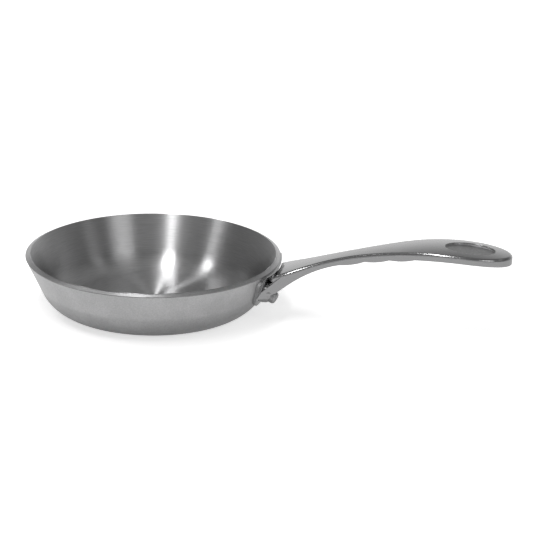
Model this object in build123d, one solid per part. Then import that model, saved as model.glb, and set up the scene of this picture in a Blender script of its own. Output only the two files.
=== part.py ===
from build123d import *
import math
import os

# Omelette pan with a fixed cast handle, in millimetres.
# +Z is up, the handle points along +X, and the origin is the centre of the flat
# underside, where the pan stands.

# Pan body: an aluminium core sealed between two stainless sheets, drawn to shape together
RIM_RADIUS = 101.8
RIM_HEIGHT = 45.4
SKIN_THICKNESS = 0.6
CORE_THICKNESS = 2.8
CORNER_RADIUS = 28.3
WALL_FLARE_DEGREES = 24.3
RIM_EDGE_RADIUS = 0.4

# Handle blade, seen from the side: a straight run and three arcs along its crest
DECK_GAP = 0.4
DECK_DROP = 5.5
HANDLE_LENGTH = 182.7
DECK_SLOPE_DEGREES = 18.3
CREST_RUN_SHARE = 0.1565
CREST_RADIUS_SHARES = (2.765, 1.193, 1.914)
CREST_TURN_DEGREES = (8.24, 12.3, 10.0)
CROWN_RADIUS = 200.0
TOP_EDGE_RADIUS = 2.3
LOW_EDGE_RADIUS = 1.0

# Handle blade, seen from above
ROOT_WIDTH = 35.2
SHOULDER_WIDTH = 27.6
WAIST_WIDTH = 19.2
PADDLE_WIDTH = 43.0
SHOULDER_SHARE = 0.099
WAIST_SHARE = 0.27
PADDLE_SHARE = 0.81

# Underside: depth below the crest, and three finger bumps between four notches
HANDLE_THICKNESS = 7.0
TIP_THICKNESS = 7.9
SWELL_THICKNESS = 6.5
NOTCH_THICKNESS = 5.8
SWELL_SHARE = 0.15
NOTCH_SHARES = (0.275, 0.388, 0.5, 0.612)
NOTCH_GROWTH = 0.28
BUMP_HEIGHT = 1.15
NOTCH_BLEND_RADIUS = 5.0

# Shallow oval recess in the paddle
RECESS_LENGTH = 39.0
RECESS_WIDTH = 25.4
RECESS_DEPTH = 2.0
RECESS_SHARE = 0.842
RECESS_FLOOR_SHARE = 0.4
RECESS_LIP_SHARE = 0.25

# Two legs that carry the blade down to the wall, with an open fork between them
LEG_SLOPE_DEGREES = 38.2
LEG_DEPTH = 8.7
LEG_DROP = 15.5
LEG_WIDTH = 7.4
LEG_FOOT_WIDTH = 56.0
CHEEK_REACH = 6.0
CHEEK_INSET = 0.4
CHEEK_FOOT_RISE = 5.0
FORK_REACH = 9.5
FORK_CORNER_SHARE = 0.78
DECK_THICKNESS = 3.4

# Three rivets: two through thick lugs low down, one through the top of the pad
RIVET_SPACING = 31.6
RIVET_LOW_DROP = 19.7
RIVET_TOP_DROP = 11.1
SHANK_RADIUS = 3.2
INNER_HEAD_RADIUS = 5.3
INNER_HEAD_HEIGHT = 2.7
LUG_HEAD_RADIUS = 5.0
LUG_HEAD_HEIGHT = 4.7
LUG_HEAD_EDGE_RADIUS = 2.3
PAD_HEAD_RADIUS = 4.2
PAD_HEAD_HEIGHT = 1.9
PAD_HEAD_EDGE_RADIUS = 1.2

# Mounting pad against the wall, with a domed lug at each low rivet
PAD_THICKNESS = 2.0
PAD_LAND = 1.4
LOBE_RADIUS = 13.2
CORNER_SPACING = 59.0
CORNER_DROP = 10.2
CORNER_LOBE_RADIUS = 6.5
LUG_FOOT_RADIUS = 8.8
LUG_DOME_HEIGHT = 10.6
LUG_SEAT_SHARE = 0.775

# Length by which cutting and joining bodies run past the surface they meet
OVERRUN = 5.0

FLARE = math.radians(WALL_FLARE_DEGREES)
WALL_THICKNESS = CORE_THICKNESS + 2 * SKIN_THICKNESS
OUTER_TOP = RIM_HEIGHT - WALL_THICKNESS * math.sin(FLARE)
WALL_FOOT = CORNER_RADIUS * (1 - math.sin(FLARE))
BASE_RADIUS = RIM_RADIUS - (OUTER_TOP - WALL_FOOT) * math.tan(FLARE) - CORNER_RADIUS * math.cos(FLARE)
DECK_START = RIM_RADIUS + DECK_GAP
DECK_HEIGHT = RIM_HEIGHT - DECK_DROP
LEG_TOP_HEIGHT = RIM_HEIGHT - LEG_DROP
LEG_INSIDE = BASE_RADIUS + CORNER_RADIUS / 2
FORK_HALF_WIDTH = ROOT_WIDTH / 2 - LEG_WIDTH
TIP_X = DECK_START + HANDLE_LENGTH
CEILING = RIM_HEIGHT + HANDLE_LENGTH / 2
LEG_BOTTOM_HEIGHT = RIM_HEIGHT - RIVET_LOW_DROP - LEG_DEPTH
LUG_HEIGHT = LUG_SEAT_SHARE * LUG_DOME_HEIGHT
TOP_LOBE_RADIUS = PAD_HEAD_RADIUS + PAD_LAND
CREST_LEAD = 2 * OVERRUN
UPWARD = 0.7
TOLERANCE = 0.001


def wall_radius(height):
    """Radius of the straight outer wall at a height."""
    return RIM_RADIUS - (OUTER_TOP - height) * math.tan(FLARE)


def wall_end(depth, short):
    """Where the wall ends at the rim, at a depth from its outer face, a little short of it."""
    outer = Vector(RIM_RADIUS, 0, OUTER_TOP)
    square = Vector(math.cos(FLARE), 0, -math.sin(FLARE))
    along = Vector(math.sin(FLARE), 0, math.cos(FLARE))
    return outer - square * depth - along * short


def layer_section(near, far, short=0):
    """Half section of a layer of the pan body between two depths from its outer face."""
    centre = Vector(BASE_RADIUS, 0, CORNER_RADIUS)
    half_turn = (math.pi / 2 + FLARE) / 2
    outline = []
    for depth in (near, far):
        radius = CORNER_RADIUS - depth
        low = Vector(BASE_RADIUS, 0, depth)
        middle = centre + Vector(math.cos(half_turn), 0, -math.sin(half_turn)) * radius
        high = centre + Vector(math.cos(FLARE), 0, -math.sin(FLARE)) * radius
        outline.append(Line(Vector(0, 0, depth), low))
        outline.append(ThreePointArc(low, middle, high))
        outline.append(Line(high, wall_end(depth, short)))
    outline.append(Line(wall_end(near, short), wall_end(far, short)))
    outline.append(Line(Vector(0, 0, near), Vector(0, 0, far)))
    return make_face(outline)


def envelope():
    """Everything inside the outer face of the pan body, up past the rim."""
    centre = Vector(BASE_RADIUS, 0, CORNER_RADIUS)
    half_turn = (math.pi / 2 + FLARE) / 2
    low = Vector(BASE_RADIUS, 0, 0)
    middle = centre + Vector(math.cos(half_turn), 0, -math.sin(half_turn)) * CORNER_RADIUS
    high = centre + Vector(math.cos(FLARE), 0, -math.sin(FLARE)) * CORNER_RADIUS
    rim = Vector(RIM_RADIUS, 0, OUTER_TOP)
    outline = [
        Line(Vector(0, 0, 0), low),
        ThreePointArc(low, middle, high),
        Line(high, rim),
        Line(rim, Vector(RIM_RADIUS, 0, CEILING)),
        Line(Vector(RIM_RADIUS, 0, CEILING), Vector(0, 0, CEILING)),
        Line(Vector(0, 0, CEILING), Vector(0, 0, 0)),
    ]
    return revolve(make_face(outline), Axis.Z)


def round_rim(layer, pick):
    """Rounds the larger or the smaller circle round a layer's end at the rim."""
    circles = layer.edges().filter_by(GeomType.CIRCLE).sort_by(Axis.Z)[-2:]
    return fillet(pick(circles, key=lambda edge: edge.radius), RIM_EDGE_RADIUS)


def outer_edges(faces):
    """Edges round the outside of a patch of neighbouring faces."""
    edges = [edge for face in faces for edge in face.edges()]
    return [edge for edge in edges if sum(edge.is_same(other) for other in edges) == 1]


def crest_path():
    """Crest of the blade in side view, from a little before the deck's end to past the tip."""
    slope = math.radians(DECK_SLOPE_DEGREES)
    start = Vector(DECK_START, 0, DECK_HEIGHT)
    heading = Vector(math.cos(slope), 0, math.sin(slope))
    run_end = start + heading * CREST_RUN_SHARE * HANDLE_LENGTH
    edges = [Edge.make_line(start - heading * CREST_LEAD, run_end)]
    for share, turn in zip(CREST_RADIUS_SHARES, CREST_TURN_DEGREES):
        radius = share * HANDLE_LENGTH
        out = Vector(-heading.Z, 0, heading.X)
        centre = edges[-1] @ 1 - out * radius
        half = math.radians(turn) / 2
        middle = centre + (out * math.cos(half) + heading * math.sin(half)) * radius
        end = centre + (out * math.cos(2 * half) + heading * math.sin(2 * half)) * radius
        edges.append(Edge.make_three_point_arc(edges[-1] @ 1, middle, end))
        heading = heading * math.cos(2 * half) - out * math.sin(2 * half)
    return Wire(edges)


CREST = crest_path()


def crest_place(share):
    """Place along the whole crest of a share of the handle's length from the deck's end."""
    return min((CREST_LEAD + share * HANDLE_LENGTH) / CREST.length, 1)


def below_crest(share, depth):
    """Point under the crest, by share of the handle's length and square depth."""
    at = crest_place(share)
    heading = CREST % at
    return (CREST @ at) + Vector(heading.Z, 0, -heading.X) * depth


def leg_point(x, depth):
    """Point at distance x from the pan's axis on the line a depth under the legs' top line."""
    slope = math.radians(LEG_SLOPE_DEGREES)
    rise = (x - wall_radius(LEG_TOP_HEIGHT)) * math.tan(slope)
    return Vector(x, 0, LEG_TOP_HEIGHT + rise - depth / math.cos(slope))


def side_outline():
    """Everything above the handle's underside, seen from the side."""
    rise = (LEG_BOTTOM_HEIGHT - leg_point(LEG_INSIDE, LEG_DEPTH).Z) / math.tan(math.radians(LEG_SLOPE_DEGREES))
    leg_start = leg_point(LEG_INSIDE + rise, LEG_DEPTH)
    inside = Vector(LEG_INSIDE, 0, LEG_BOTTOM_HEIGHT)
    leg_end = leg_point(DECK_START + LEG_DEPTH, LEG_DEPTH)
    notches = []
    for rank, share in enumerate(NOTCH_SHARES):
        notches.append(below_crest(share, NOTCH_THICKNESS + NOTCH_GROWTH * rank))
    outline = [
        Edge.make_line(inside, leg_start),
        Edge.make_line(leg_start, leg_end),
        Edge.make_three_point_arc(leg_end, below_crest(SWELL_SHARE, SWELL_THICKNESS), notches[0]),
    ]
    for rank in range(len(notches) - 1):
        share = (NOTCH_SHARES[rank] + NOTCH_SHARES[rank + 1]) / 2
        depth = NOTCH_THICKNESS + NOTCH_GROWTH * (rank + 1 / 2) + BUMP_HEIGHT
        outline.append(Edge.make_three_point_arc(notches[rank], below_crest(share, depth), notches[rank + 1]))
    end = (CREST.length - CREST_LEAD) / HANDLE_LENGTH
    middle = below_crest((NOTCH_SHARES[-1] + end) / 2, HANDLE_THICKNESS)
    last = below_crest(end, TIP_THICKNESS)
    outline.append(Edge.make_three_point_arc(notches[-1], middle, last))
    outline.append(Edge.make_line(last, Vector(last.X, 0, CEILING)))
    outline.append(Edge.make_line(Vector(last.X, 0, CEILING), Vector(LEG_INSIDE, 0, CEILING)))
    outline.append(Edge.make_line(Vector(LEG_INSIDE, 0, CEILING), inside))
    face = make_face(outline)
    corners = []
    for corner in face.vertices():
        if any((Vector(corner) - notch).length < TOLERANCE for notch in notches):
            corners.append(corner)
    return fillet(corners, NOTCH_BLEND_RADIUS)


def plan_outline():
    """Outline of the legs and the blade, seen from above."""
    def at(share, width):
        return (DECK_START + share * HANDLE_LENGTH, width / 2)

    root = at(0, ROOT_WIDTH)
    paddle = at(PADDLE_SHARE, PADDLE_WIDTH)
    side = Spline(
        root,
        at(SHOULDER_SHARE, SHOULDER_WIDTH),
        at(WAIST_SHARE, WAIST_WIDTH),
        paddle,
        tangents=[(1, 0), (1, 0)],
    )
    tip = EllipticalCenterArc(
        (paddle[0], 0), TIP_X - paddle[0], PADDLE_WIDTH / 2, start_angle=0, arc_size=90
    )
    half = make_face([
        Line((LEG_INSIDE, 0), (LEG_INSIDE, ROOT_WIDTH / 2)),
        Line((LEG_INSIDE, ROOT_WIDTH / 2), root),
        side,
        tip,
        Line((LEG_INSIDE, 0), (TIP_X, 0)),
    ])
    return half + mirror(half, Plane.XZ)


def above_crest():
    """Space over the crowned top of the blade."""
    plane = Plane(origin=CREST @ 0, x_dir=(0, 1, 0), z_dir=CREST % 0)
    half = PADDLE_WIDTH
    drop = CROWN_RADIUS - math.sqrt(CROWN_RADIUS**2 - half**2)
    section = make_face([
        ThreePointArc((-half, -drop), (0, 0), (half, -drop)),
        Line((half, -drop), (half, CEILING)),
        Line((half, CEILING), (-half, CEILING)),
        Line((-half, CEILING), (-half, -drop)),
    ])
    if plane.y_dir.Z < 0:
        section = mirror(section, Plane.XZ)
    return sweep(plane * section, path=CREST)


def above_legs():
    """Space over the legs, out to the end of the deck, which follows the round of the rim."""
    outline = Polyline(
        leg_point(LEG_INSIDE - OVERRUN, 0),
        leg_point(DECK_START + OVERRUN, 0),
        Vector(DECK_START + OVERRUN, 0, CEILING),
        Vector(LEG_INSIDE - OVERRUN, 0, CEILING),
        close=True,
    )
    disc = Cylinder(DECK_START, CEILING, align=(Align.CENTER, Align.CENTER, Align.MIN))
    return extrude(make_face(outline), PADDLE_WIDTH, both=True) & disc


def arm():
    """Blade and legs in one, with rounded edges, before the fork and the recess are cut."""
    blank = extrude(plan_outline(), CEILING) & extrude(side_outline(), PADDLE_WIDTH, both=True)
    blank = blank - above_crest() - above_legs()
    crowned = [face for face in blank.faces() if face.normal_at().Z > UPWARD and face.center().X > DECK_START]
    blank = fillet(outer_edges(crowned), TOP_EDGE_RADIUS)
    plain = blank.faces().filter_by(GeomType.PLANE) + blank.faces().filter_by(GeomType.CYLINDER)
    below = [face for face in plain if face.normal_at().Z < -UPWARD]
    low_edges = [edge for edge in outer_edges(below) if edge.center().Z > LEG_BOTTOM_HEIGHT + TOLERANCE]
    return fillet(low_edges, LOW_EDGE_RADIUS)


def cheeks():
    """Outer sides of the legs, which spread towards the low rivets at the wall."""
    end = DECK_START + CHEEK_REACH
    plan = Polyline(
        (LEG_INSIDE, 0),
        (LEG_INSIDE, LEG_FOOT_WIDTH / 2),
        (wall_radius(LEG_BOTTOM_HEIGHT), LEG_FOOT_WIDTH / 2),
        (end, ROOT_WIDTH / 2 - 2 * CHEEK_INSET),
        (end, 0),
        close=True,
    )
    band = Polyline(
        leg_point(LEG_INSIDE, CHEEK_INSET),
        leg_point(end, CHEEK_INSET),
        leg_point(end, LEG_DEPTH - CHEEK_INSET),
        leg_point(LEG_INSIDE, LEG_DEPTH - CHEEK_INSET),
        close=True,
    )
    half = make_face(plan)
    foot = Pos(0, 0, LEG_BOTTOM_HEIGHT + CHEEK_FOOT_RISE)
    legs = extrude(foot * (half + mirror(half, Plane.XZ)), CEILING)
    return legs & extrude(make_face(band), PADDLE_WIDTH, both=True)


def fork():
    """Open space between the legs, under the free end of the deck."""
    ceiling = below_crest(0, DECK_THICKNESS)
    end = DECK_START + FORK_REACH
    lean = math.tan(math.radians(DECK_SLOPE_DEGREES))
    outline = Polyline(
        Vector(LEG_INSIDE - OVERRUN, 0, 0),
        Vector(end, 0, 0),
        Vector(end, 0, ceiling.Z + (end - ceiling.X) * lean),
        Vector(LEG_INSIDE - OVERRUN, 0, ceiling.Z - (ceiling.X - LEG_INSIDE + OVERRUN) * lean),
        close=True,
    )
    space = extrude(make_face(outline), FORK_HALF_WIDTH, both=True)
    corners = [edge for edge in space.edges().filter_by(Axis.Z) if edge.center().X > end - TOLERANCE]
    gap = extrude(Rectangle(2 * DECK_START, 2 * FORK_HALF_WIDTH), CEILING)
    disc = Cylinder(DECK_START, CEILING, align=(Align.CENTER, Align.CENTER, Align.MIN))
    return fillet(corners, FORK_CORNER_SHARE * FORK_HALF_WIDTH) + (gap & disc)


def recess():
    """Oval pocket in the paddle, with a floor that follows the local slope."""
    at = crest_place(RECESS_SHARE)
    heading = CREST % at
    plane = Plane(origin=CREST @ at, x_dir=heading, z_dir=Vector(-heading.Z, 0, heading.X))
    oval = plane.offset(-RECESS_DEPTH) * Ellipse(RECESS_LENGTH / 2, RECESS_WIDTH / 2)
    pocket = extrude(oval, RECESS_DEPTH + OVERRUN)
    floor = pocket.faces().sort_by(Axis.Z)[0]
    return fillet(floor.edges(), RECESS_FLOOR_SHARE * RECESS_DEPTH)


def rivet_plane(side):
    """Plane on the outer wall, square to it, where a rivet passes; side is -1, 0 or 1."""
    height = RIM_HEIGHT - (RIVET_LOW_DROP if side else RIVET_TOP_DROP)
    radius = wall_radius(height)
    turn = math.asin(side * RIVET_SPACING / 2 / radius)
    outward = Vector(math.cos(turn) * math.cos(FLARE), math.sin(turn) * math.cos(FLARE), -math.sin(FLARE))
    origin = Vector(radius * math.cos(turn), radius * math.sin(turn), height)
    return Plane(origin=origin, x_dir=(-math.sin(turn), math.cos(turn), 0), z_dir=outward)


def pad():
    """Plate that lies against the wall, with a round lobe at each rivet and upper corner."""
    middle = rivet_plane(0)
    lobes = [(0, 0, TOP_LOBE_RADIUS)]
    for side in (-1, 1):
        at = middle.to_local_coords(rivet_plane(side).origin)
        lobes.append((at.X, at.Y, LOBE_RADIUS))
        rise = (RIVET_TOP_DROP - CORNER_DROP) / math.cos(FLARE)
        lobes.append((side * CORNER_SPACING / 2, rise, CORNER_LOBE_RADIUS))
    circles = [Pos(x, y) * Circle(radius) for x, y, radius in lobes]
    outline = make_hull([edge for circle in circles for edge in circle.edges()])
    plate = extrude(middle * outline, 2 * LOBE_RADIUS, both=True)
    return plate & revolve(layer_section(-PAD_THICKNESS, 0), Axis.Z)


def lug(side):
    """Domed foot that a low rivet passes through, with a flat seat for its head."""
    def radius(height):
        return LUG_FOOT_RADIUS * math.sqrt(1 - (height / LUG_DOME_HEIGHT) ** 2)

    outline = [
        Line((0, 0, -PAD_THICKNESS), (LUG_FOOT_RADIUS, 0, -PAD_THICKNESS)),
        Line((LUG_FOOT_RADIUS, 0, -PAD_THICKNESS), (LUG_FOOT_RADIUS, 0, 0)),
        ThreePointArc(
            (LUG_FOOT_RADIUS, 0, 0),
            (radius(LUG_HEIGHT / 2), 0, LUG_HEIGHT / 2),
            (radius(LUG_HEIGHT), 0, LUG_HEIGHT),
        ),
        Line((radius(LUG_HEIGHT), 0, LUG_HEIGHT), (0, 0, LUG_HEIGHT)),
        Line((0, 0, LUG_HEIGHT), (0, 0, -PAD_THICKNESS)),
    ]
    return rivet_plane(side) * revolve(make_face(outline), Axis.Z)


def casting():
    """Handle as cast, in one piece, before its rivet holes."""
    pan = envelope()
    blade = arm()
    pocket = recess()
    body = blade - pocket
    body = fillet(new_edges(blade, pocket, combined=body), RECESS_LIP_SHARE * RECESS_DEPTH)
    foot = pad()
    for side in (-1, 1):
        foot = foot + (lug(side) - pan)
    foot = foot + (cheeks() - pan - fork())
    return (body - fork() - pan) + foot


def seat_depth(side):
    """How far the outer seat of a rivet stands off the wall."""
    return LUG_HEIGHT if side else PAD_THICKNESS


def shank(side):
    """Straight middle of a rivet, reaching a little way into both heads."""
    bar = Cylinder(
        SHANK_RADIUS,
        WALL_THICKNESS + seat_depth(side) + 2 * SKIN_THICKNESS,
        align=(Align.CENTER, Align.CENTER, Align.MAX),
    )
    return rivet_plane(side).offset(seat_depth(side) + SKIN_THICKNESS) * bar


def inner_head(side):
    """Low domed head of a rivet inside the pan."""
    ball = (INNER_HEAD_RADIUS**2 + INNER_HEAD_HEIGHT**2) / (2 * INNER_HEAD_HEIGHT)
    wall = rivet_plane(side).offset(-WALL_THICKNESS)
    dome = wall.offset(ball - INNER_HEAD_HEIGHT) * Sphere(ball)
    reach = Cylinder(INNER_HEAD_RADIUS, ball, align=(Align.CENTER, Align.CENTER, Align.MAX))
    return dome & wall.offset(SKIN_THICKNESS) * reach


def outer_head(side):
    """Flat head of a rivet outside: tall on a lug, low on the pad."""
    radius = LUG_HEAD_RADIUS if side else PAD_HEAD_RADIUS
    height = LUG_HEAD_HEIGHT if side else PAD_HEAD_HEIGHT
    edge_radius = LUG_HEAD_EDGE_RADIUS if side else PAD_HEAD_EDGE_RADIUS
    head = Cylinder(radius, height + SKIN_THICKNESS, align=(Align.CENTER, Align.CENTER, Align.MIN))
    top = head.edges().filter_by(GeomType.CIRCLE).sort_by(Axis.Z)[-1]
    return rivet_plane(side).offset(seat_depth(side) - SKIN_THICKNESS) * fillet(top, edge_radius)


os.makedirs("parts", exist_ok=True)

wall = revolve(layer_section(0, WALL_THICKNESS), Axis.Z)
core_section = layer_section(SKIN_THICKNESS, WALL_THICKNESS - SKIN_THICKNESS, SKIN_THICKNESS)
inner_section = layer_section(WALL_THICKNESS - SKIN_THICKNESS, WALL_THICKNESS)
outer_section = layer_section(0, WALL_THICKNESS) - core_section - inner_section
core = revolve(core_section, Axis.Z)
inner_skin = round_rim(revolve(inner_section, Axis.Z), min)
outer_skin = round_rim(revolve(outer_section, Axis.Z), max)
handle = casting()
rivets = {}
for name, side in (("rivet_left", 1), ("rivet_right", -1), ("rivet_top", 0)):
    head_in = inner_head(side) - wall
    head_out = outer_head(side) - handle
    rivets[name] = head_in + shank(side) + head_out
for side in (-1, 0, 1):
    bore = shank(side)
    outer_skin = outer_skin - bore
    core = core - bore
    inner_skin = inner_skin - bore
    handle = handle - bore

parts = {
    "pan_outer_skin": outer_skin,
    "pan_core": core,
    "pan_inner_skin": inner_skin,
    "handle": handle,
    **rivets,
}
for name, piece in parts.items():
    export_step(piece, "parts/" + name + ".step")
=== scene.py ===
import math

import bpy
from mathutils import Matrix, Vector


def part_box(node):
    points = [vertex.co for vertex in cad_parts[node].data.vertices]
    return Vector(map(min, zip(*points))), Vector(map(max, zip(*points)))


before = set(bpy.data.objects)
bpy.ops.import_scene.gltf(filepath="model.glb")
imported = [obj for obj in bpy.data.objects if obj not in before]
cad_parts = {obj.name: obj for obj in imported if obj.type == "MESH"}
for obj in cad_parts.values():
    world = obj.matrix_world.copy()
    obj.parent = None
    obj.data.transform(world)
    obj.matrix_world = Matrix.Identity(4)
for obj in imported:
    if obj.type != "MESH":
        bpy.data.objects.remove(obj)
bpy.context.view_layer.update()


# The heart of the pan body: one thick disc of aluminium that spreads the heat. It is pressed to the
# bowl's shape between its two steel skins and sealed in all round, so nothing of it shows.
CORE_COLOUR = (0.80, 0.80, 0.81, 1.0)
CORE_ROUGHNESS = (0.34, 0.50)
CORE_MARK_SCALE = 90.0
CORE_MARK_DETAIL = 3.0
# How much of a noise's finest detail is kept, and the stretch of its values that a finish uses.
FINEST_SHARE = 0.6
SOFT_CONTRAST = (0.3, 0.7)


def new_metal(name, colour):
    """A bare metal: returns the material, its node tree and its shader."""
    material = bpy.data.materials.new(name)
    material.use_nodes = True
    shader = next(n for n in material.node_tree.nodes if n.type == "BSDF_PRINCIPLED")
    shader.inputs["Base Color"].default_value = colour
    shader.inputs["Metallic"].default_value = 1.0
    return material, material.node_tree, shader


def give(tree, value, socket):
    """Feeds a socket with a number, a colour or another node's output."""
    if isinstance(value, bpy.types.NodeSocket):
        tree.links.new(value, socket)
    else:
        socket.default_value = value


def maths(tree, operation, *values):
    node = tree.nodes.new("ShaderNodeMath")
    node.operation = operation
    for socket, value in zip(node.inputs, values):
        give(tree, value, socket)
    return node.outputs["Value"]


def object_place(tree):
    """Where a point lies on the part, in metres."""
    return tree.nodes.new("ShaderNodeTexCoord").outputs["Object"]


def noise(tree, place, scale, detail, finest=FINEST_SHARE):
    node = tree.nodes.new("ShaderNodeTexNoise")
    give(tree, place, node.inputs["Vector"])
    node.inputs["Scale"].default_value = scale
    node.inputs["Detail"].default_value = detail
    node.inputs["Roughness"].default_value = finest
    return node.outputs["Fac"]


def spread(tree, value, old_ends, new_ends):
    """Moves a value from one range to another and holds it to the ends."""
    node = tree.nodes.new("ShaderNodeMapRange")
    give(tree, value, node.inputs["Value"])
    node.inputs["From Min"].default_value, node.inputs["From Max"].default_value = old_ends
    node.inputs["To Min"].default_value, node.inputs["To Max"].default_value = new_ends
    return node.outputs["Result"]


def dress(solid_name, material):
    """Puts a finish on a solid of the model."""
    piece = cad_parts[solid_name]
    piece.data.materials.clear()
    piece.data.materials.append(material)


core_metal, tree, shader = new_metal("core_aluminium", CORE_COLOUR)
marks = noise(tree, object_place(tree), CORE_MARK_SCALE, CORE_MARK_DETAIL)
give(tree, spread(tree, marks, SOFT_CONTRAST, CORE_ROUGHNESS), shader.inputs["Roughness"])
dress("pan_core", core_metal)


# The cooking surface: thin stainless steel, brushed round and round while the bowl turned. Its fine
# rings draw every lamp out into a streak that runs from the middle up the wall. The floor of the
# bowl is painted lighter than the wall: painted light for the light that it catches from above.
INNER_COLOUR = (0.47, 0.47, 0.474, 1.0)
FLOOR_OF_BOWL_PAINTED_LIGHT_COLOUR = (0.68, 0.68, 0.685, 1.0)
FLOOR_OF_BOWL_RISE = 0.0012
FLOOR_OF_BOWL_BLEND = 0.010
INNER_ROUGHNESS = (0.28, 0.37)
INNER_ANISOTROPY = 1.0
RINGS_PER_METRE = 2600.0
RING_DIRECTIONS = 7.0
RING_DETAIL = 2.0
RING_SHADE = 0.76
INNER_RING_BUMP = 0.12
GRAIN_DEPTH = 0.00002
PLAIN_CONTRAST = (0.35, 0.65)
QUARTER_TURN = 0.25


def part_of(tree, place, axis):
    node = tree.nodes.new("ShaderNodeSeparateXYZ")
    give(tree, place, node.inputs["Vector"])
    return node.outputs[axis]


def vector_maths(tree, operation, *values):
    """One node for sums with directions. Its outputs are Vector and, for a length, Value."""
    node = tree.nodes.new("ShaderNodeVectorMath")
    node.operation = operation
    for socket, value in zip(node.inputs, values):
        give(tree, value, socket)
    return node.outputs


def ring_grain(tree):
    """Noise in fine rings round the upright axis, with no seam: read by direction, radius and height."""
    place = object_place(tree)
    flat = vector_maths(tree, "MULTIPLY", place, (1.0, 1.0, 0.0))["Vector"]
    radius = vector_maths(tree, "LENGTH", flat)["Value"]
    outward = vector_maths(tree, "NORMALIZE", flat)["Vector"]
    outward = vector_maths(tree, "MULTIPLY", outward, (RING_DIRECTIONS,) * 3)["Vector"]
    ring = maths(tree, "ADD", radius, part_of(tree, place, "Z"))
    lift = tree.nodes.new("ShaderNodeCombineXYZ")
    give(tree, maths(tree, "MULTIPLY", ring, RINGS_PER_METRE), lift.inputs["Z"])
    rings = vector_maths(tree, "ADD", outward, lift.outputs["Vector"])["Vector"]
    return noise(tree, rings, 1.0, RING_DETAIL)


def brush_round(tree, shader, anisotropy):
    """Turns the brushing round the upright axis."""
    node = tree.nodes.new("ShaderNodeTangent")
    node.direction_type = "RADIAL"
    node.axis = "Z"
    give(tree, node.outputs["Tangent"], shader.inputs["Tangent"])
    shader.inputs["Anisotropic"].default_value = anisotropy
    shader.inputs["Anisotropic Rotation"].default_value = QUARTER_TURN


def bump(tree, shader, height, strength):
    node = tree.nodes.new("ShaderNodeBump")
    node.inputs["Strength"].default_value = strength
    node.inputs["Distance"].default_value = GRAIN_DEPTH
    give(tree, height, node.inputs["Height"])
    give(tree, node.outputs["Normal"], shader.inputs["Normal"])


def mixed(tree, share, first, second, kind="MIX"):
    """A colour that goes from the first to the second with share."""
    node = tree.nodes.new("ShaderNodeMix")
    node.data_type = "RGBA"
    node.blend_type = kind
    sockets = {socket.identifier: socket for socket in node.inputs}
    give(tree, share, sockets["Factor_Float"])
    give(tree, first, sockets["A_Color"])
    give(tree, second, sockets["B_Color"])
    return next(o for o in node.outputs if o.identifier == "Result_Color")


def shaded(tree, colour, shade):
    return mixed(tree, 1.0, colour, shade, "MULTIPLY")


inner_steel, tree, shader = new_metal("inner_brushed_steel", INNER_COLOUR)
brush_round(tree, shader, INNER_ANISOTROPY)
rings = ring_grain(tree)
give(tree, spread(tree, rings, PLAIN_CONTRAST, INNER_ROUGHNESS), shader.inputs["Roughness"])
bump(tree, shader, rings, INNER_RING_BUMP)
# Painted light: the floor of the bowl is coloured lighter than the wall and blends into the wall's colour
# just above it.
bowl_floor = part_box("pan_inner_skin")[0][2] + FLOOR_OF_BOWL_RISE
height = part_of(tree, object_place(tree), "Z")
up_the_wall = spread(tree, height, (bowl_floor, bowl_floor + FLOOR_OF_BOWL_BLEND), (0.0, 1.0))
steel = mixed(tree, up_the_wall, FLOOR_OF_BOWL_PAINTED_LIGHT_COLOUR, INNER_COLOUR)
steel = shaded(tree, steel, spread(tree, rings, SOFT_CONTRAST, (RING_SHADE, 1.0)))
give(tree, steel, shader.inputs["Base Color"])
dress("pan_inner_skin", inner_steel)


# The outside of the bowl: the same thin steel with a soft satin finish, turned over the rim's end
# so that the edge is one smooth band of steel, with a fine dark line of painted shade under it. The
# rounded corner at the foot is painted darker than the wall, a painted shade for the shadowed floor
# that it mirrors, and use has clouded the steel a little.
OUTER_COLOUR = (0.50, 0.50, 0.504, 1.0)
CORNER_LOW_PAINTED_SHADE_COLOUR = (0.31, 0.31, 0.313, 1.0)
CORNER_HIGH_PAINTED_SHADE_COLOUR = (0.43, 0.43, 0.434, 1.0)
CORNER_LOW = 0.001
CORNER_HIGH = 0.0195
CORNER_BLEND = 0.0030
OUTER_ROUGHNESS = (0.33, 0.42)
OUTER_ANISOTROPY = 0.5
OUTER_RING_BUMP = 0.2
MOTTLE_SCALE = 900.0
MOTTLE_DETAIL = 3.0
MOTTLE_FINEST_SHARE = 0.7
MOTTLE_SHADE = 0.82
CLOUD_SCALE = 55.0
CLOUD_DETAIL = 4.0
CLOUD_SHADE = 0.92
STRONG_CONTRAST = (0.4, 0.6)
LINE_DROP = 0.00167
LINE_HALF_WIDTH = 0.00045
PAINTED_LINE_SHADE = 0.45

outer_steel, tree, shader = new_metal("outer_satin_steel", OUTER_COLOUR)
brush_round(tree, shader, OUTER_ANISOTROPY)
rings = ring_grain(tree)
give(tree, spread(tree, rings, SOFT_CONTRAST, OUTER_ROUGHNESS), shader.inputs["Roughness"])
bump(tree, shader, rings, OUTER_RING_BUMP)
height = part_of(tree, object_place(tree), "Z")
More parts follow.
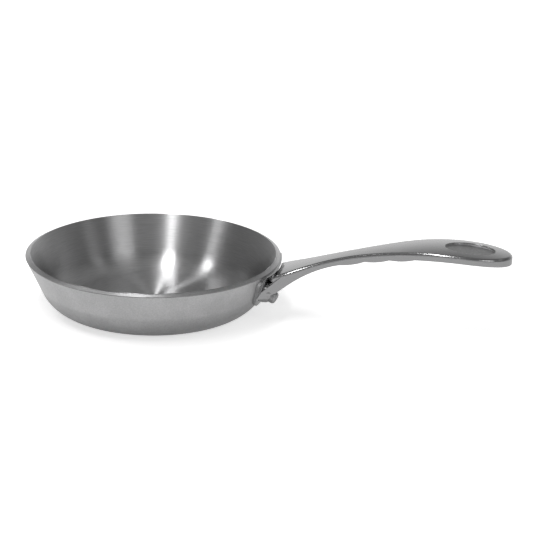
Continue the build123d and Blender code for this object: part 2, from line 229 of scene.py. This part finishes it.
# Painted shade: the rounded corner at the foot is coloured darker than the wall, darkest at the bottom.
up_the_corner = spread(tree, height, (CORNER_LOW, CORNER_HIGH), (0.0, 1.0))
corner = mixed(tree, up_the_corner, CORNER_LOW_PAINTED_SHADE_COLOUR, CORNER_HIGH_PAINTED_SHADE_COLOUR)
on_the_wall = spread(tree, height, (CORNER_HIGH, CORNER_HIGH + CORNER_BLEND), (0.0, 1.0))
steel = mixed(tree, on_the_wall, corner, OUTER_COLOUR)
mottle = noise(tree, object_place(tree), MOTTLE_SCALE, MOTTLE_DETAIL, MOTTLE_FINEST_SHARE)
steel = shaded(tree, steel, spread(tree, mottle, PLAIN_CONTRAST, (MOTTLE_SHADE, 1.0)))
cloud = noise(tree, object_place(tree), CLOUD_SCALE, CLOUD_DETAIL)
steel = shaded(tree, steel, spread(tree, cloud, STRONG_CONTRAST, (CLOUD_SHADE, 1.0)))
# Painted shade: a fine dark line is coloured into the steel just under the rim's band.
line_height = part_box("pan_outer_skin")[1][2] - LINE_DROP
off_the_line = maths(tree, "ABSOLUTE", maths(tree, "SUBTRACT", height, line_height))
line_shade = spread(tree, off_the_line, (LINE_HALF_WIDTH / 2, LINE_HALF_WIDTH), (PAINTED_LINE_SHADE, 1.0))
give(tree, shaded(tree, steel, line_shade), shader.inputs["Base Color"])
dress("pan_outer_skin", outer_steel)


# The handle: one steel casting, ground smooth, with a fine grit left in the finish. The floor of the
# oval hollow in the paddle end is as it came from the mould, coarser than the rest.
HANDLE_COLOUR = (0.31, 0.31, 0.313, 1.0)
HOLLOW_COLOUR = (0.32, 0.32, 0.323, 1.0)
HANDLE_ROUGHNESS = (0.15, 0.22)
HOLLOW_EXTRA_ROUGHNESS = 0.3
HANDLE_GRIT_SCALE = 900.0
GRIT_DETAIL = 2.0
HANDLE_GRIT_BUMP = 0.12
HOLLOW_GRIT_SHADE = (0.7, 1.15)
HOLLOW_FROM_TIP = 0.0328
HOLLOW_HALF_LENGTH = 0.0193
HOLLOW_HALF_WIDTH = 0.0126
HOLLOW_EDGE = 0.04
HOLLOW_BELOW_CREST = 0.0049

handle_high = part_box("handle")[1]
cast_steel, tree, shader = new_metal("cast_handle_steel", HANDLE_COLOUR)
hollow_centre = (handle_high[0] - HOLLOW_FROM_TIP, 0.0, 0.0)
place = vector_maths(tree, "SUBTRACT", object_place(tree), hollow_centre)["Vector"]
along = maths(tree, "DIVIDE", part_of(tree, place, "X"), HOLLOW_HALF_LENGTH)
across = maths(tree, "DIVIDE", part_of(tree, place, "Y"), HOLLOW_HALF_WIDTH)
reach = maths(tree, "ADD", maths(tree, "MULTIPLY", along, along), maths(tree, "MULTIPLY", across, across))
in_the_oval = spread(tree, reach, (1.0 - HOLLOW_EDGE, 1.0 + HOLLOW_EDGE), (1.0, 0.0))
hollow_low = handle_high[2] - HOLLOW_BELOW_CREST
on_top = maths(tree, "GREATER_THAN", part_of(tree, place, "Z"), hollow_low)
hollow = maths(tree, "MULTIPLY", in_the_oval, on_top)
grit = noise(tree, object_place(tree), HANDLE_GRIT_SCALE, GRIT_DETAIL)
ground = spread(tree, grit, SOFT_CONTRAST, HANDLE_ROUGHNESS)
coarse = maths(tree, "MULTIPLY", hollow, HOLLOW_EXTRA_ROUGHNESS)
give(tree, maths(tree, "ADD", ground, coarse), shader.inputs["Roughness"])
moulded = shaded(tree, HOLLOW_COLOUR, spread(tree, grit, PLAIN_CONTRAST, HOLLOW_GRIT_SHADE))
give(tree, mixed(tree, hollow, HANDLE_COLOUR, moulded), shader.inputs["Base Color"])
bump(tree, shader, grit, HANDLE_GRIT_BUMP)
dress("handle", cast_steel)


# Three solid steel rivets, headed cold: flat-domed heads inside the bowl, and button heads outside,
# on the two lugs and on the pad under the handle's deck.
RIVET_COLOUR = (0.30, 0.30, 0.303, 1.0)
RIVET_ROUGHNESS = (0.30, 0.42)
RIVET_GRIT_SCALE = 1200.0

rivet_steel, tree, shader = new_metal("rivet_steel", RIVET_COLOUR)
grit = noise(tree, object_place(tree), RIVET_GRIT_SCALE, GRIT_DETAIL)
give(tree, spread(tree, grit, SOFT_CONTRAST, RIVET_ROUGHNESS), shader.inputs["Roughness"])
for rivet in ("rivet_left", "rivet_right", "rivet_top"):
    dress(rivet, rivet_steel)


# The floor: a wide sheet of pale matt paper under the pan. It glows for the camera, so that it
# shows white and keeps the shadow, and glows less in what the metal mirrors.
PAPER_SIZE = 12.0
PAPER_DROP = 0.0002
PAPER_COLOUR = (0.86, 0.86, 0.86, 1.0)
PAPER_ROUGHNESS = 0.9
PAPER_GLOW_SEEN = 0.60
PAPER_GLOW_MIRRORED = 0.28

half = PAPER_SIZE / 2
paper_mesh = bpy.data.meshes.new("floor")
corners = [(-half, -half, 0.0), (half, -half, 0.0), (half, half, 0.0), (-half, half, 0.0)]
paper_mesh.from_pydata(corners, [], [range(4)])
paper_sheet = bpy.data.objects.new("floor", paper_mesh)
paper_sheet.location.z = -PAPER_DROP
bpy.context.scene.collection.objects.link(paper_sheet)
paper = bpy.data.materials.new("floor_paper")
paper.use_nodes = True
tree = paper.node_tree
shader = next(n for n in tree.nodes if n.type == "BSDF_PRINCIPLED")
shader.inputs["Base Color"].default_value = PAPER_COLOUR
shader.inputs["Roughness"].default_value = PAPER_ROUGHNESS
shader.inputs["Specular IOR Level"].default_value = 0.0
rays = tree.nodes.new("ShaderNodeLightPath").outputs
bounced = maths(tree, "ADD", rays["Is Glossy Ray"], rays["Is Transmission Ray"])
mirrored = maths(tree, "MULTIPLY", bounced, PAPER_GLOW_MIRRORED)
seen = maths(tree, "MULTIPLY", rays["Is Camera Ray"], PAPER_GLOW_SEEN)
glow = tree.nodes.new("ShaderNodeEmission")
give(tree, maths(tree, "ADD", seen, mirrored), glow.inputs["Strength"])
both = tree.nodes.new("ShaderNodeAddShader")
give(tree, shader.outputs["BSDF"], both.inputs[0])
give(tree, glow.outputs["Emission"], both.inputs[1])
surface = next(n for n in tree.nodes if n.type == "OUTPUT_MATERIAL")
give(tree, both.outputs["Shader"], surface.inputs["Surface"])
paper_mesh.materials.append(paper)


# The room: pale low down, dimmer overhead, on the camera's side and at both ends, so that the bowl
# has something to mirror. The camera itself sees it white.
ROOM_COLOUR = (1.0, 1.0, 1.0, 1.0)
ROOM_LOW_AND_HIGH = (1.09, 0.31)
ROOM_RISE = (0.22, 0.52)
ROOM_FRONT_AND_BACK = (0.72, 1.0)
ROOM_DEPTH = (-0.5, 0.5)
ROOM_MIDDLE_AND_ENDS = (1.0, 0.45)
ROOM_LENGTH = (0.35, 0.9)

world = bpy.data.worlds.new("room")
bpy.context.scene.world = world
world.use_nodes = True
tree = world.node_tree
sky = next(n for n in tree.nodes if n.type == "BACKGROUND")
sky.inputs["Color"].default_value = ROOM_COLOUR
way = tree.nodes.new("ShaderNodeTexCoord").outputs["Generated"]
level = maths(
    tree, "MULTIPLY",
    spread(tree, part_of(tree, way, "Z"), ROOM_RISE, ROOM_LOW_AND_HIGH),
    spread(tree, part_of(tree, way, "Y"), ROOM_DEPTH, ROOM_FRONT_AND_BACK),
)
to_the_side = maths(tree, "ABSOLUTE", part_of(tree, way, "X"))
level = maths(tree, "MULTIPLY", level, spread(tree, to_the_side, ROOM_LENGTH, ROOM_MIDDLE_AND_ENDS))
seen = tree.nodes.new("ShaderNodeLightPath").outputs["Is Camera Ray"]
level = maths(tree, "MULTIPLY", level, maths(tree, "SUBTRACT", 1.0, seen))
give(tree, maths(tree, "ADD", level, seen), sky.inputs["Strength"])


# The camera: a long lens a metre and a half from the middle of the rim, a little above it and
# turned a little towards the handle. The middle of the rim lands on one pixel of the photograph.
PHOTO_PIXELS = 550.0
SENSOR_WIDTH = 36.0
FOCAL_PIXELS = 1875.0
CAMERA_DISTANCE = 1.5
CAMERA_TURN = math.radians(10.3)
CAMERA_RISE = math.radians(19.70)
CAMERA_ROLL = math.radians(-1.36)
RIM_MIDDLE = Vector((0.0, 0.0, 0.04537))
RIM_MIDDLE_PIXEL = (153.62, 251.1)


def direction(turn, rise):
    """A unit step, turned from +X about the upright axis and then raised."""
    return Vector((math.cos(turn) * math.cos(rise), math.sin(turn) * math.cos(rise), math.sin(rise)))


camera_data = bpy.data.cameras.new("camera")
camera_data.sensor_width = SENSOR_WIDTH
camera_data.lens = FOCAL_PIXELS / PHOTO_PIXELS * SENSOR_WIDTH
camera = bpy.data.objects.new("camera", camera_data)
bpy.context.scene.collection.objects.link(camera)
camera_side = CAMERA_TURN - math.pi / 2
back = direction(camera_side, CAMERA_RISE)
right = direction(CAMERA_TURN, 0.0)
up = back.cross(right)
rolled_right = right * math.cos(CAMERA_ROLL) - up * math.sin(CAMERA_ROLL)
rolled_up = right * math.sin(CAMERA_ROLL) + up * math.cos(CAMERA_ROLL)
pixels_right = RIM_MIDDLE_PIXEL[0] - PHOTO_PIXELS / 2
pixels_down = RIM_MIDDLE_PIXEL[1] - PHOTO_PIXELS / 2
sight = rolled_right * (pixels_right / FOCAL_PIXELS) - rolled_up * (pixels_down / FOCAL_PIXELS) - back
camera_axes = Matrix((rolled_right, rolled_up, back)).transposed().to_4x4()
camera.matrix_world = Matrix.Translation(RIM_MIDDLE - sight * CAMERA_DISTANCE) @ camera_axes
bpy.context.scene.camera = camera


# The lamps: one long narrow box high on the left for the main streak in the bowl, a second one for
# the soft streak, and two broad weak ones on the right.
LAMP_DISTANCE = 2.0


def soft_box(name, turn, rise, heading, width, length, strength):
    """turn is measured in degrees from the camera's side of the pan, to the right as the camera sees
    it, and heading is the way that the box's long side points, measured alike."""
    lamp = bpy.data.lights.new(name, "AREA")
    lamp.shape = "RECTANGLE"
    lamp.size = width
    lamp.size_y = length
    lamp.energy = strength * width * length * math.pi
    box = bpy.data.objects.new(name, lamp)
    bpy.context.scene.collection.objects.link(box)
    outward = direction(camera_side + math.radians(turn), math.radians(rise))
    long_side = direction(camera_side + math.radians(heading), 0.0)
    long_side = (long_side - outward * outward.dot(long_side)).normalized()
    box_axes = Matrix((long_side.cross(outward), long_side, outward)).transposed().to_4x4()
    box.matrix_world = Matrix.Translation(RIM_MIDDLE + outward * LAMP_DISTANCE) @ box_axes
    box.visible_camera = False


soft_box("main_box", turn=-38.5, rise=74.0, heading=-8.4, width=0.16, length=1.9, strength=18.5)
soft_box("left_box", turn=-91.0, rise=53.0, heading=-31.5, width=0.18, length=1.0, strength=10.5)
soft_box("right_box", turn=40.0, rise=35.0, heading=18.5, width=0.7, length=0.9, strength=2.1)
soft_box("weak_box", turn=82.0, rise=40.0, heading=34.0, width=0.4, length=0.4, strength=1.0)

bpy.context.scene.view_settings.view_transform = "Standard"
